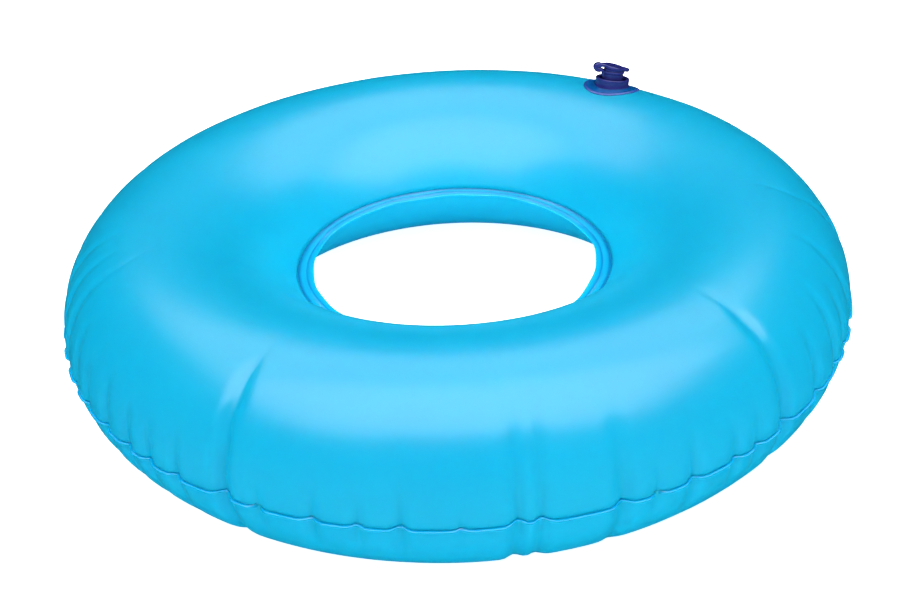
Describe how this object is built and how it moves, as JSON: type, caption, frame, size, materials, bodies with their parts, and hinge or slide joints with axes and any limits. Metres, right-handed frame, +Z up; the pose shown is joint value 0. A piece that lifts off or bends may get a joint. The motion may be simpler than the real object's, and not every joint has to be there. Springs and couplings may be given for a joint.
{
  "type": "inflatable ring cushion",
  "caption": "Inflatable ring seat cushion of welded translucent film, with a push-in air valve and a tethered plug on its upper side.",
  "frame": {"origin": "centre of the ring on the surface that it rests on", "axes": "+Z up along the ring's axis; the valve is on the upper side at 51 degrees from +X towards +Y, and its pull tab points to +X"},
  "size_m": [0.4073, 0.4074, 0.1067],
  "materials": {
    "film": "translucent frosted vinyl film, soft sheen",
    "weld": "two films fused together, slightly glossier",
    "valve_flange": "thin translucent soft vinyl disc",
    "valve": "soft moulded vinyl, glossy"
  },
  "bodies": {
    "cushion": {"upper_sheet": "film", "lower_sheet": "film", "outer_seam": "weld", "inner_seam": "weld", "valve_flange": "valve_flange", "valve_collar": "valve", "valve_web": "valve"},
    "stem": {"valve_stem": "valve", "tether_strap": "valve"},
    "flap": {"check_flap": "valve"},
    "plug": {"plug_head": "valve", "plug_spigot": "valve"}
  },
  "joints": [
    {"name": "stem_push", "type": "slide", "parent": "cushion", "child": "stem", "axis": [0.1117, 0.138, 0.9841], "range_m": [-0.003, 0]},
    {"name": "plug_swing", "type": "hinge", "parent": "stem", "child": "plug", "pos_m": [0.09041, 0.12325, 0.10375], "axis": [0.0078, -0.9904, 0.138], "range_deg": [0, 120]},
    {"name": "flap_open", "type": "hinge", "parent": "stem", "child": "flap", "pos_m": [0.10338, 0.12038, 0.0824], "axis": [0.0078, -0.9904, 0.138], "range_deg": [0, 60], "stiffness_Nm_per_rad": 0.0002, "springref_deg": -17.19}
  ]
}
